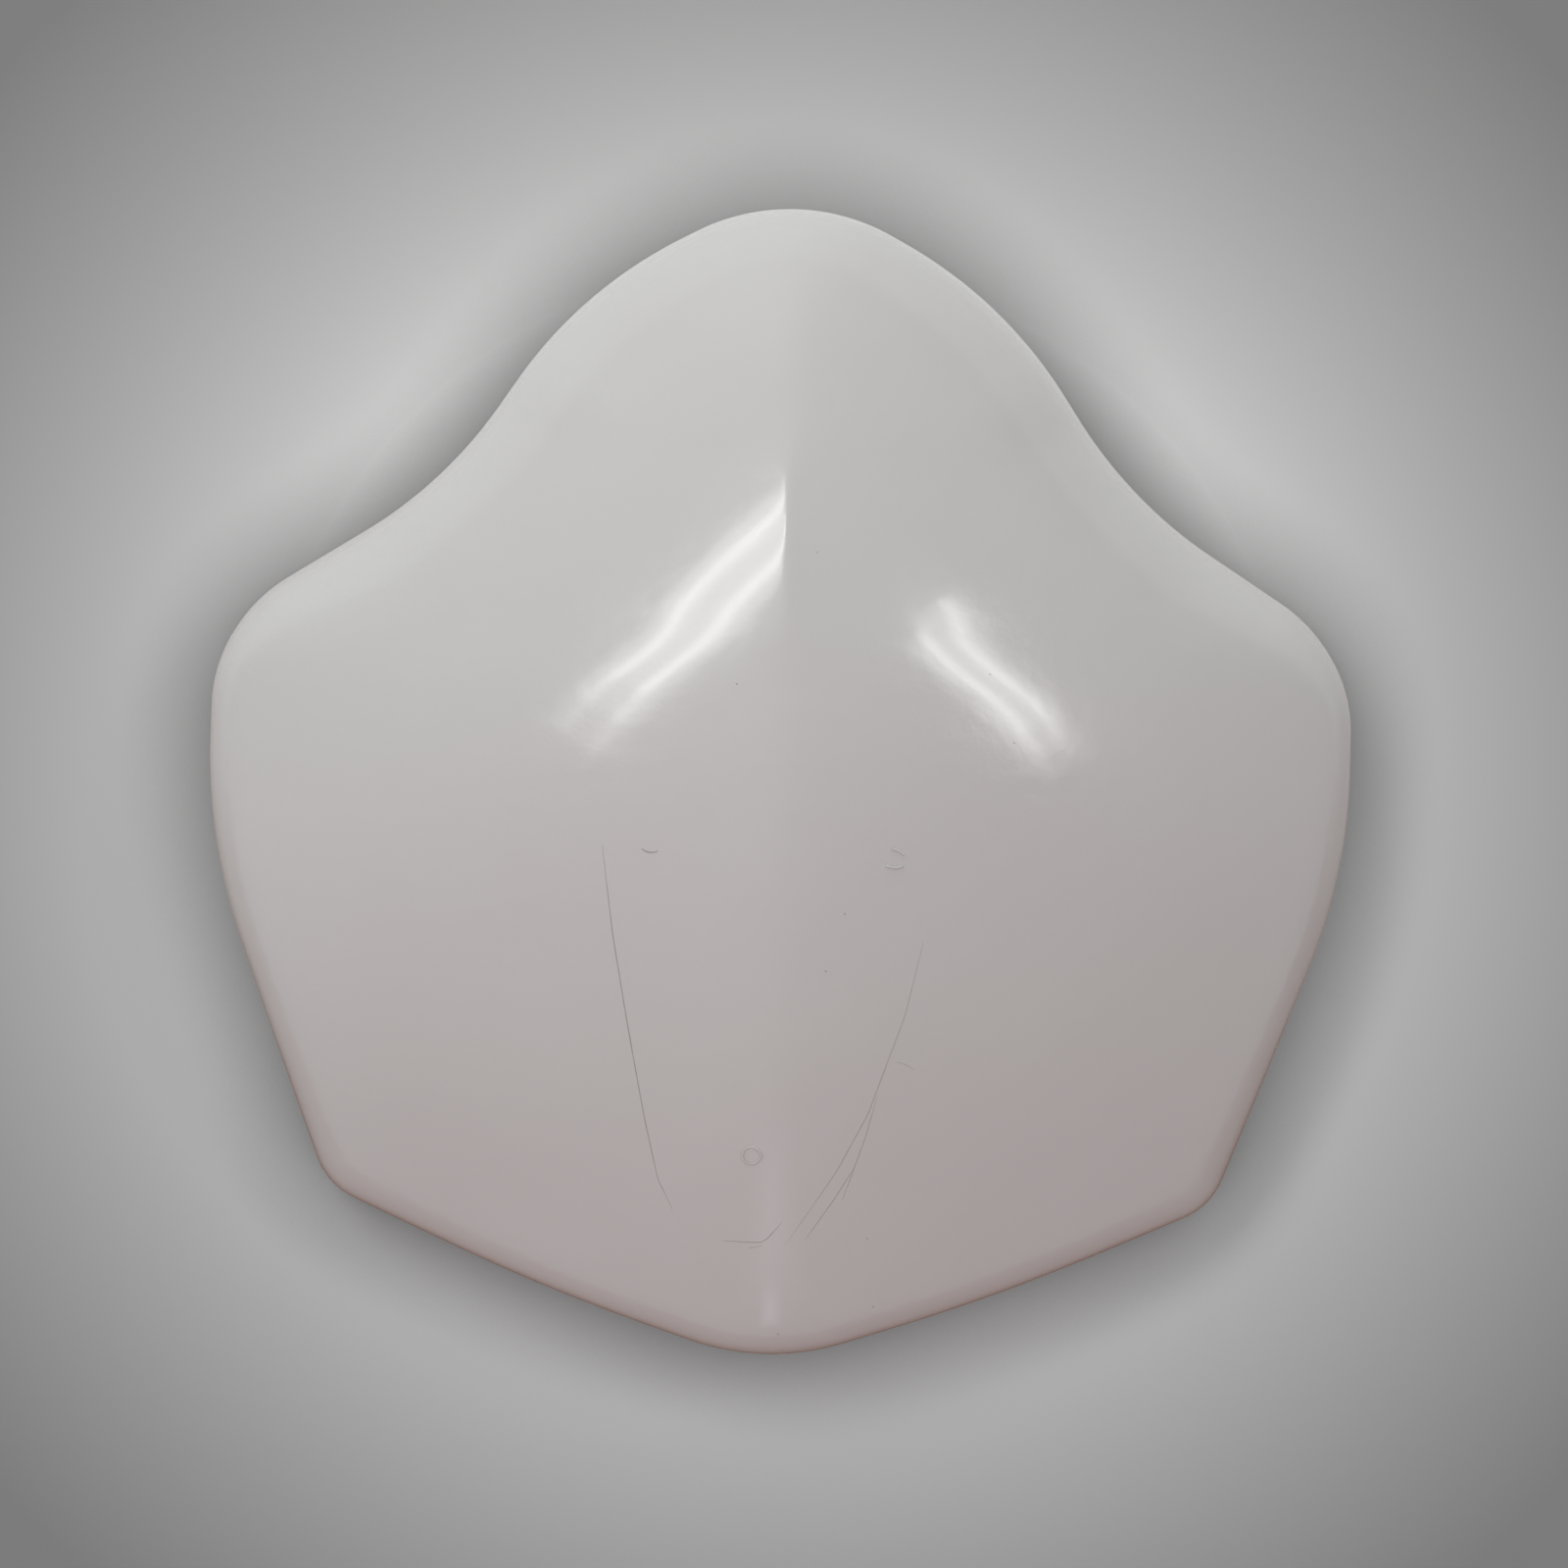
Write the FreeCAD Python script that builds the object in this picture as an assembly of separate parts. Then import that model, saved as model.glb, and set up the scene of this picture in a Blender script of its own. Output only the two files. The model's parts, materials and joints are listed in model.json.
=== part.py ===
# Motorcycle headlight fairing: one hand-laid glass-fibre shell, trimmed and not yet drilled.
# It lies face up on its trimmed rim. X runs across it, Y up its height and Z out through its face.
# All sizes are in millimetres.
import FreeCAD, Part
import math
import os

Vector = FreeCAD.Vector

# Overall size
WIDTH = 360.0
HEIGHT = 361.0
WALL = 2.5

# Rim outline, right half: where its straight edges would meet, and the radius that joins them there.
# The crown and the tip are rounded all the way to the middle line.
CROWN_HALF = 17.0
FLANK_HALF = 68.0
FLANK_DOWN = 27.0
FLANK_RADIUS = 140.0
WAIST_HALF = 108.5
WAIST_DOWN = 88.5
WAIST_RADIUS = 135.0
SHOULDER_DOWN = 134.5
SHOULDER_RADIUS = 52.0
SIDE_LENGTH = 65.0
SIDE_RADIUS = 180.0
CORNER_IN = 40.5
CORNER_UP = 49.5
CORNER_RADIUS = 48.0
TIP_HALF = 19.0

# Side wall: its lean outside, and the greater lean inside that thickens the laminate under the roll
DRAFT_ANGLE = 8.0
INNER_ANGLE = 10.0
ROLL_RADIUS = 14.0

# Face: the height of its ridge over the rim, the slope that falls away on either side of the ridge,
# and the half-width over which the ridge is rounded, at five places along it
TIP_HEIGHT = 28.0
TIP_SLOPE = 0.18
TIP_SOFTNESS = 32.0
CHIN_UP = 75.0
CHIN_HEIGHT = 87.5
CHIN_SLOPE = 0.15
CHIN_SOFTNESS = 19.0
NOSE_UP = 180.0
NOSE_HEIGHT = 112.0
NOSE_SLOPE = 0.14
NOSE_SOFTNESS = 8.0
BROW_DOWN = 90.0
BROW_HEIGHT = 98.5
BROW_SLOPE = 0.2
BROW_SOFTNESS = 8.0
CROWN_HEIGHT = 42.5
CROWN_SLOPE = 0.32
CROWN_SOFTNESS = 22.0

# The face bends on sideways at this radius. It is modelled past the rim, then trimmed by the walls.
CROSS_RADIUS = 310.0
FACE_MARGIN = 18.0
SECTION_COUNT = 13
POINTS_PER_SIDE = 10
RIDGE_CROWDING = 1.1

# The laminate is this much thicker measured straight down through the sloping face
SLOPE_ALLOWANCE = 1.1
CAVITY_OVERCUT = 2.0

half_width = WIDTH / 2
half_height = HEIGHT / 2
face_reach = half_height + FACE_MARGIN
top_of_walls = NOSE_HEIGHT + FACE_MARGIN
up = Vector(0, 0, 1)


def rim_corners():
    """Meeting points of the straight edges in the right half of the rim, each with its radius."""
    shoulder_y = half_height - SHOULDER_DOWN
    return [
        (Vector(CROWN_HALF, half_height, 0), None),
        (Vector(FLANK_HALF, half_height - FLANK_DOWN, 0), FLANK_RADIUS),
        (Vector(WAIST_HALF, half_height - WAIST_DOWN, 0), WAIST_RADIUS),
        (Vector(half_width, shoulder_y, 0), SHOULDER_RADIUS),
        (Vector(half_width, shoulder_y - SIDE_LENGTH, 0), SIDE_RADIUS),
        (Vector(half_width - CORNER_IN, CORNER_UP - half_height, 0), CORNER_RADIUS),
        (Vector(TIP_HALF, -half_height, 0), None),
    ]


def rim_rounds():
    """Rounds in the right half of the rim, from crown to tip.

    Each has its centre, its radius, the directions from the centre to its two ends, and a sign: 1 where
    the rim bulges out, -1 where it bends in. A round is limited by the straight edges that it joins.
    """
    corners = rim_corners()
    points = [Vector(0, half_height, 0)] + [point for point, radius in corners] + [Vector(0, -half_height, 0)]
    turns = []
    wanted = []
    for before, (point, radius), after in zip(points, corners, points[2:]):
        half_turn = (math.pi - (before - point).getAngle(after - point)) / 2
        turns.append(half_turn)
        wanted.append(point.x if radius is None else radius * math.tan(half_turn))
    rounds = []
    for i, (point, radius) in enumerate(corners):
        reach = wanted[i]
        for j in (i - 1, i + 1):
            if radius is not None:
                shared = (corners[j][0] - point).Length / (wanted[i] + wanted[j])
                reach = min(reach, wanted[i] * shared)
        back = (points[i] - point).normalize()
        ahead = (points[i + 2] - point).normalize()
        true_radius = reach / math.tan(turns[i])
        centre = point + (back + ahead).normalize() * (true_radius / math.cos(turns[i]))
        first = (point + back * reach - centre).normalize()
        last = (point + ahead * reach - centre).normalize()
        sign = 1 if back.cross(ahead).z > 0 else -1
        rounds.append((centre, true_radius, first, last, sign))
    return rounds


def right_walls(inset, angle, low, high):
    """Leaning wall faces over the right half of the rim: a cone at each round and a plane on each straight."""
    lean = math.tan(math.radians(angle))
    faces = []
    foot = None
    head = None
    for centre, radius, first, last, sign in rim_rounds():
        low_radius = radius - sign * (inset + low * lean)
        high_radius = radius - sign * (inset + high * lean)
        start_low = centre + first * low_radius + up * low
        start_high = centre + first * high_radius + up * high
        if foot is not None and (start_low - foot).Length > 1e-4:
            outline = Part.makePolygon([foot, start_low, start_high, head, foot])
            faces.append(Part.Face(outline))
        turn = math.degrees(first.getAngle(last))
        faces.append(Part.makeLine(start_low, start_high).revolve(centre, up, -sign * turn))
        foot = centre + last * low_radius + up * low
        head = centre + last * high_radius + up * high
    return faces


def walled_block(inset, angle, low, high):
    """Solid inside the leaning walls, from one height to another."""
    right = right_walls(inset, angle, low, high)
    walls = right + [face.mirror(Vector(0, 0, 0), Vector(1, 0, 0)) for face in right]
    ends = []
    for level in (low, high):
        edges = [e for face in walls for e in face.Edges if all(abs(v.Z - level) < 1e-6 for v in e.Vertexes)]
        ends.append(Part.Face(Part.Wire(Part.__sortEdges__(edges))))
    skin = Part.makeShell(walls + ends)
    skin.sewShape()
    return Part.makeSolid(skin).removeSplitter()


def ridge_line():
    """Curve that gives the ridge's height, side slope and softness at any place along Y."""
    stations = [
        (-face_reach, TIP_HEIGHT, TIP_SLOPE, TIP_SOFTNESS),
        (CHIN_UP - half_height, CHIN_HEIGHT, CHIN_SLOPE, CHIN_SOFTNESS),
        (NOSE_UP - half_height, NOSE_HEIGHT, NOSE_SLOPE, NOSE_SOFTNESS),
        (half_height - BROW_DOWN, BROW_HEIGHT, BROW_SLOPE, BROW_SOFTNESS),
        (face_reach, CROWN_HEIGHT, CROWN_SLOPE, CROWN_SOFTNESS),
    ]
    curve = Part.BSplineCurve()
    curve.interpolate(
        Points=[Vector(height, slope, softness) for place, height, slope, softness in stations],
        Parameters=[place for place, height, slope, softness in stations],
    )
    return curve


def cross_section(ridge, place, crowding, lowered):
    """Section of the face across the shell: two slopes that meet in a rounded ridge and bend on down."""
    height, slope, softness = ridge.value(place)
    side = half_width + FACE_MARGIN
    steps = [k / POINTS_PER_SIDE for k in range(-POINTS_PER_SIDE, POINTS_PER_SIDE + 1)]
    points = []
    for step in steps:
        x = math.copysign(side * abs(step) ** crowding, step)
        fall = slope * (math.hypot(x, softness) - softness) + x * x / (2 * CROSS_RADIUS)
        points.append(Vector(x, place, height - lowered - fall))
    curve = Part.BSplineCurve()
    curve.interpolate(Points=points, Parameters=steps)
    return Part.Wire(curve.toShape())


def below_face(crowding, lowered):
    """Everything under the face, or under the same face lowered."""
    ridge = ridge_line()
    spacing = 2 * face_reach / (SECTION_COUNT - 1)
    places = [k * spacing - face_reach for k in range(SECTION_COUNT)]
    sections = [cross_section(ridge, place, crowding, lowered) for place in places]
    face = Part.makeLoft(sections, False, False).Faces[0]
    return face.extrude(up * -(2 * top_of_walls))


def rolled_plug():
    """The shell's outside as a solid block, its face rolled over into the side walls."""
    walls = walled_block(0.0, DRAFT_ANGLE, 0.0, top_of_walls)
    block = walls.common(below_face(RIDGE_CROWDING, 0.0)).Solids[0]
    curved = [face for face in block.Faces if face.Surface.TypeId == "Part::GeomBSplineSurface"]
    front = max(curved, key=lambda face: face.Area)
    return block.makeFillet(ROLL_RADIUS, front.Edges)


def cavity():
    """The space inside the shell, open through the rim."""
    walls = walled_block(WALL, INNER_ANGLE, -CAVITY_OVERCUT, top_of_walls)
    return walls.common(below_face(1.0, WALL * SLOPE_ALLOWANCE)).Solids[0]


def fairing_shell():
    """The moulding: the rolled plug, hollowed."""
    return rolled_plug().cut(cavity()).Solids[0]


os.makedirs("parts", exist_ok=True)
shell = fairing_shell()
shell.exportStep("parts/fairing_shell.step")
print("fairing_shell", shell.isValid(), "volume", round(shell.Volume), "mm3")
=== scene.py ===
"""Motorcycle headlight fairing: a glossy white hand-laid shell lying face up on a plain grey floor."""
import json
import math

import bmesh
import bpy
import numpy as np
from bpy.props import FloatProperty, FloatVectorProperty, PointerProperty
from bpy.types import Operator, Panel, PropertyGroup
from mathutils import Matrix, Vector

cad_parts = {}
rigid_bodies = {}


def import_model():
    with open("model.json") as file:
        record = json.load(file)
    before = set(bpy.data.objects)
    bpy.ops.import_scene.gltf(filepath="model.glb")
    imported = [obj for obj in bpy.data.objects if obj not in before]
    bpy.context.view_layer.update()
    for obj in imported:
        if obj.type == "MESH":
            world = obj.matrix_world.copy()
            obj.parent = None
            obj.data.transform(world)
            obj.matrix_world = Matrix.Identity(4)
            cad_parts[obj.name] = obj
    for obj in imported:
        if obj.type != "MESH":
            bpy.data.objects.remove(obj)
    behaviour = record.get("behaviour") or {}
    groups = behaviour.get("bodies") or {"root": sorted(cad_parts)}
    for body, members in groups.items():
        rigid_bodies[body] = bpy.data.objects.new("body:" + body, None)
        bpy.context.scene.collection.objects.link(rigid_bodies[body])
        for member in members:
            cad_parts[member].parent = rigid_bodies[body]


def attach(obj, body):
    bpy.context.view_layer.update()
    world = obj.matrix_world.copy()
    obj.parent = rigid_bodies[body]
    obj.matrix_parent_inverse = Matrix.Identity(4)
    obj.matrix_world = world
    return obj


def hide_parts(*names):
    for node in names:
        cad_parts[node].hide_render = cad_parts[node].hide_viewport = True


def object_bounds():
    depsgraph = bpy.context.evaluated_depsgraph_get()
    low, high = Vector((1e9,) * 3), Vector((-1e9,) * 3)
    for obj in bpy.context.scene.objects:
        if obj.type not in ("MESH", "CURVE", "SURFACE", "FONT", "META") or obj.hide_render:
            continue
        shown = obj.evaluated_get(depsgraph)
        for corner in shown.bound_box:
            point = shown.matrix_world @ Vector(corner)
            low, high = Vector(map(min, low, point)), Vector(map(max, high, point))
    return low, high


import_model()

bl_info = {
    "name": "Headlight Fairing",
    "version": (1, 0, 0),
    "blender": (4, 5, 0),
    "location": "3D View > Sidebar > Fairing",
    "description": "Builds a gel-coated headlight fairing shell, its surface marks and its studio",
    "category": "Object",
}

CAD_LOW, CAD_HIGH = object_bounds()
HALF_WIDTH = CAD_HIGH.x
HALF_HEIGHT = CAD_HIGH.y

# Rim outline, right half, from the crown to the tip: where the straight edges would meet, and the radius
# that joins them there. The crown and the tip are rounded all the way to the middle line.
SHOULDER_Y = HALF_HEIGHT - 0.134
RIM_CORNERS = (
    (0.017, HALF_HEIGHT, None),
    (0.068, HALF_HEIGHT - 0.027, 0.140),
    (0.1085, HALF_HEIGHT - 0.0885, 0.135),
    (HALF_WIDTH, SHOULDER_Y, 0.050),
    (HALF_WIDTH, SHOULDER_Y - 0.071, 0.180),
    (HALF_WIDTH - 0.040, 0.049 - HALF_HEIGHT, 0.024),
    (0.070, 0.0186 - HALF_HEIGHT, 0.700),
    (0.013, -HALF_HEIGHT, None),
)
SHOULDER = 3
LOWER_CORNER = 5

# Ridge, from below the tip to above the crown: place, height over the rim, slope to either side and the
# half-width over which the solid rounds it
RIDGE = (
    (-0.1985, 0.0280, 0.18, 0.032),
    (-0.1055, 0.0875, 0.15, 0.019),
    (-0.0005, 0.1120, 0.14, 0.008),
    (0.0905, 0.0985, 0.20, 0.008),
    (0.1985, 0.0425, 0.32, 0.022),
)
# Ridge rounding on the face itself: place and half-width. It is crisp only above the nose.
RIDGE_SOFTNESS = (
    (-0.1985, 0.012),
    (-0.1055, 0.0055),
    (-0.0300, 0.0085),
    (0.0250, 0.0085),
    (0.0480, 0.0006),
    (0.0880, 0.0006),
    (0.1060, 0.007),
    (0.1985, 0.022),
)
# How far the slopes beside the crisp crease sink with it
CREASE_SWELL = 0.45
CROSS_RADIUS = 0.310

# Marks on the face, as places across and up it: lines scribed by hand, each with its share of the full
# width, a V-shaped chip, specks of dirt, and drilling marks with their radius and the part of the circle
# that shows
SCRIBED_LINES = (
    (1.0, ((-0.0505, -0.0195), (-0.047, -0.045), (-0.0425, -0.070),
           (-0.037, -0.099), (-0.033, -0.117), (-0.0285, -0.1265))),
    (0.72, ((0.0415, -0.045), (0.037, -0.0665), (0.0325, -0.080),
            (0.0275, -0.0955), (0.019, -0.113), (0.0045, -0.1365))),
    (0.72, ((0.030, -0.090), (0.027, -0.1025), (0.021, -0.122))),
    (0.8, ((0.024, -0.112), (0.019, -0.121), (0.0105, -0.1345))),
    (1.0, ((-0.0135, -0.1355), (-0.0015, -0.1355), (0.0035, -0.129))),
    (1.0, ((-0.006, -0.1375), (-0.002, -0.1365))),
    (0.8, ((0.035, -0.080), (0.039, -0.0805), (0.0405, -0.0825))),
    (1.5, ((-0.0148, -0.1708), (-0.0136, -0.1720), (-0.0122, -0.1724))),
)
CHIP = ((-0.0392, -0.0203), (-0.0368, -0.0222), (-0.0345, -0.0208))
SPECKS = (
    (-0.0136, 0.027), (0.008, 0.065), (0.066, 0.0127), (0.0585, 0.032), (0.0185, -0.037),
    (0.0137, -0.0535), (0.0287, -0.134), (0.0315, -0.1565), (0.0033, -0.1655), (-0.0096, -0.1715),
)
DRILL_MARKS = (
    (-0.0058, -0.1084, 0.0029, 0.0, 2.0 * math.pi),
    (0.0325, -0.0215, 0.003, 1.2 * math.pi, 1.8 * math.pi),
    (0.0325, -0.0215, 0.003, 0.15 * math.pi, 0.6 * math.pi),
)

# Rim points: columns across the crown and the tip, rows down each side, the spacing beside the ridge, and
# the points on each round of the outline that they are taken from
COLUMNS = 160
ROWS = 96
RIDGE_SPACING = 0.0011
ROUND_POINTS = 61

# Loops from the rim to the face: shares of the way up the wall, how many go over the roll, and how far
# past the roll the last ones lie
WALL_LOOPS = (0.0, 0.03, 0.35, 0.7)
ROLL_LOOPS = 19
FACE_LOOPS = (0.0012, 0.0026)

# Roll: where along Y it starts to widen for the flanks and over what length, how far its curve keeps to the
# wall and the face before it turns, and the most of the wall that it takes up
FLANK_START = 0.020
FLANK_BLEND = 0.060
ROLL_HOLD = 0.44
FLANK_EASING = 0.10
WALL_SHARE = 0.72
INSET_ROUNDS = 12

# Waves fade in from this height over this height. Points below the last height belong to the flat rim.
WAVES_START = 0.012
WAVES_BLEND = 0.02
RIM_REACH = 0.0006

# Points along the marks
STROKE_STEP = 0.002
RING_POINTS = 25

# Lamps: daylight's colour, the panes stacked in a window and their spacing as a share of its distance, and
# the layers of a ceiling lamp as shares of its length, their spacing, and its tubes' offset and width as
# shares of its own width
DAYLIGHT = (0.86, 0.93, 1.0)
WINDOW_PANES = 4
PANE_SPACING = 0.004
LAYER_SHARES = (1.04, 0.9, 0.76)
LAYER_SPACING = 0.006
TUBE_OFFSET = 0.3
TUBE_WIDTH = 0.13
LAMP_AIM = (0.0, 0.0, 0.05)
PIECES = ("shell", "scribed_lines", "chip", "specks", "drill_marks")


class FairingSizes(PropertyGroup):
    """Sizes of the shell and its marks."""

    wall: FloatProperty(
        name="Wall", description="Thickness of the laminate", default=0.0025, unit="LENGTH"
    )
    draft: FloatProperty(
        name="Draft", description="Lean of the side wall", default=math.radians(8.0), subtype="ANGLE"
    )
    roll: FloatProperty(
        name="Roll", description="Reach of the rolled edge along the lower sides", default=0.016,
        unit="LENGTH",
    )
    flank_roll: FloatProperty(
        name="Flank Roll", description="Reach of the rolled edge along the upper flanks", default=0.040,
        unit="LENGTH",
    )
    waviness: FloatProperty(
        name="Waviness", description="Depth of the slow waves left by the hand-made mould", default=0.00016,
        unit="LENGTH",
    )
    laminate_relief: FloatProperty(
        name="Laminate Relief", description="Height of the lumps on the inside", default=0.0007, unit="LENGTH"
    )
    line_width: FloatProperty(
        name="Line Width", description="Width of a scribed line", default=0.00023, unit="LENGTH"
    )
    speck: FloatProperty(
        name="Speck", description="Length of a speck of dirt", default=0.0004, unit="LENGTH"
    )


class FairingColours(PropertyGroup):
    """Colours of the shell's finishes."""

    gel_coat: FloatVectorProperty(
        name="Gel Coat", description="White of the polished face", default=(0.560, 0.554, 0.546),
        subtype="COLOR", min=0.0, max=1.0,
    )
    gel_shade: FloatVectorProperty(
        name="Gel Shade", description="Warmer white that drifts through the gel coat",
        default=(0.540, 0.526, 0.518), subtype="COLOR", min=0.0, max=1.0,
    )
    laminate: FloatVectorProperty(
        name="Laminate", description="Resin-soaked glass mat on the inside", default=(0.46, 0.45, 0.38),
        subtype="COLOR", min=0.0, max=1.0,
    )
    strands: FloatVectorProperty(
        name="Strands", description="Glass strands in the mat", default=(0.60, 0.60, 0.54),
        subtype="COLOR", min=0.0, max=1.0,
    )
    cut_edge: FloatVectorProperty(
        name="Cut Edge", description="Trimmed and sanded rim", default=(0.50, 0.49, 0.44),
        subtype="COLOR", min=0.0, max=1.0,
    )
    marks: FloatVectorProperty(
        name="Marks", description="Scribed lines and specks", default=(0.40, 0.38, 0.36),
        subtype="COLOR", min=0.0, max=1.0,
    )


class FairingStudio(PropertyGroup):
    """Floor, lights and camera."""

    # Painted light on the floor: a painted pool of light, bright beside the shell, that falls off to a dark
    # painted edge at the frame's corners.
    floor_painted_pool: FloatVectorProperty(
        name="Floor Middle", description="Floor beside the shell", default=(0.95, 0.95, 0.95),
        subtype="COLOR", min=0.0, max=1.0,
    )
    floor_painted_falloff: FloatVectorProperty(
        name="Floor Edge", description="Floor at the frame's corners", default=(0.30, 0.30, 0.30),
        subtype="COLOR", min=0.0, max=1.0,
    )
    room: FloatProperty(name="Room", description="Soft light from overhead", default=0.575, min=0.0)
    horizon: FloatVectorProperty(
        name="Horizon", description="Share of the room's light that comes from low down",
        default=(0.78, 0.765, 0.765), subtype="COLOR", min=0.0, max=1.0,
    )
    far_wall: FloatVectorProperty(
        name="Far Wall", description="The same share on the side beyond the tip",
        default=(0.64, 0.60, 0.61), subtype="COLOR", min=0.0, max=1.0,
    )
    # Painted reflection: a dark brown that the floor shows only to glossy rays, on the side beyond the tip,
    # so the gloss of the shell's edges shows it.
    floor_painted_reflection: FloatVectorProperty(
        name="Reflected Floor", description="Floor as the gloss of the edges shows it",
        default=(0.30, 0.18, 0.13), subtype="COLOR", min=0.0, max=1.0,
    )
    key: FloatProperty(
        name="Key", description="Power of the large light above the crown", default=11.5, unit="POWER"
    )
    back: FloatProperty(
        name="Back", description="Power of the low light behind the crown", default=4.6, unit="POWER"
    )
    glow: FloatProperty(
        name="Glow", description="Power of the weak rosy light from below the tip", default=2.6, unit="POWER"
    )
    side: FloatProperty(
        name="Side", description="Power of the weak light from the left", default=2.2, unit="POWER"
    )
    tray: FloatProperty(
        name="Tray", description="Brightness of a ceiling lamp's tray", default=2.4, min=0.0
    )
    tubes: FloatProperty(
        name="Tubes", description="Brightness of a ceiling lamp's tubes", default=6.0, min=0.0
    )
    window: FloatProperty(
        name="Window", description="Brightness of a pane of the window beyond the tip", default=0.12, min=0.0
    )
    distance: FloatProperty(
        name="Distance", description="Camera distance from the shell", default=0.9, unit="LENGTH"
    )
    lens: FloatProperty(name="Lens", description="Focal length", default=68.19, unit="CAMERA")
    roll: FloatProperty(
        name="Camera Roll", description="Turn of the camera about its own view", default=-0.0263,
        subtype="ANGLE",
    )
    target: FloatVectorProperty(
        name="Target", description="Point that the camera looks at", default=(0.00106, -0.00102, 0.045),
        subtype="TRANSLATION", unit="LENGTH",
    )
    lean: FloatVectorProperty(
        name="Lean", description="Camera offset from straight above, as a share of its distance",
        default=(-0.0068, -0.0002), size=2,
    )


def eased(places, values, y):
    """Values that ease from each place to the next."""
    k = np.clip(np.searchsorted(places, y) - 1, 0, len(places) - 2)
    share = np.clip((y - places[k]) / (places[k + 1] - places[k]), 0.0, 1.0)
    share = share * share * (3.0 - 2.0 * share)
    return values[k] + (values[k + 1] - values[k]) * share


def face_height(x, y):
    """Height of the face over the rim: two slopes that meet in a ridge and bend on down."""
    places = np.array(RIDGE)[:, 0]
    rows = np.array(RIDGE).T[1:]
    height, slope, rounding = [np.polyval(np.polyfit(places, row, len(RIDGE) - 1), y) for row in rows]
    soft_places, soft_values = np.array(RIDGE_SOFTNESS).T
    soft = eased(soft_places, soft_values, y)
    swell = np.where(y > 0.0, rounding + CREASE_SWELL * (soft - rounding), rounding)
    return height - slope * (np.hypot(x, soft) - swell) - x * x / (2.0 * CROSS_RADIUS)


def rim_line():
    """Points and inward directions along the right half of the rim, and lengths to each round's middle."""
    points = [(0.0, HALF_HEIGHT)] + [corner[:2] for corner in RIM_CORNERS] + [(0.0, -HALF_HEIGHT)]
    points = np.array(points)
    places = []
    inward = []
    middles = []
    for i, (x, y, radius) in enumerate(RIM_CORNERS):
        point = points[i + 1]
        back = points[i] - point
        ahead = points[i + 2] - point
        back = back / np.linalg.norm(back)
        ahead = ahead / np.linalg.norm(ahead)
        half_turn = (math.pi - math.acos(np.clip(back @ ahead, -1.0, 1.0))) / 2.0
        reach = x if radius is None else radius * math.tan(half_turn)
        round_radius = reach / math.tan(half_turn)
        towards = (back + ahead) / np.linalg.norm(back + ahead)
        centre = point + towards * (round_radius / math.cos(half_turn))
        bulge = 1.0 if back[0] * ahead[1] - back[1] * ahead[0] > 0.0 else -1.0
        first = point + back * reach - centre
        start = math.atan2(first[1], first[0])
        angles = start - bulge * np.linspace(0.0, 2.0 * half_turn, ROUND_POINTS)
        arm = np.stack([np.cos(angles), np.sin(angles)], axis=1)
        middles.append(len(places) * ROUND_POINTS + ROUND_POINTS // 2)
        places.append(centre + arm * round_radius)
        inward.append(-bulge * arm)
    places = np.concatenate(places)
    inward = np.concatenate(inward)
    lengths = np.concatenate([[0.0], np.cumsum(np.linalg.norm(np.diff(places, axis=0), axis=1))])
    return places, inward, lengths, lengths[middles]


def growing(count, total, first):
    """Distances from 0 to a total, in steps that start small and grow."""
    step = np.arange(count + 1)
    return first * step + (total - first * count) * (step / count) ** 2


def rim_points():
    """Points and inward directions round the rim, clockwise from the crown, closest beside the ridge."""
    places, inward, lengths, middles = rim_line()
    whole = lengths[-1]
    top = growing(COLUMNS // 2, middles[SHOULDER], RIDGE_SPACING)
    side = np.linspace(middles[SHOULDER], middles[LOWER_CORNER], ROWS + 1)
    bottom = whole - growing(COLUMNS // 2, whole - middles[LOWER_CORNER], RIDGE_SPACING)[::-1]
    stops = np.concatenate([top, side[1:], bottom[1:]])
    right = np.stack([np.interp(stops, lengths, places[:, k]) for k in (0, 1)], axis=1)
    normals = np.stack([np.interp(stops, lengths, inward[:, k]) for k in (0, 1)], axis=1)
    normals /= np.linalg.norm(normals, axis=1, keepdims=True)
    flip = np.array([-1.0, 1.0])
    points = np.concatenate([right, right[-2:0:-1] * flip])
    normals = np.concatenate([normals, normals[-2:0:-1] * flip])
    return points, normals


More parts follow.
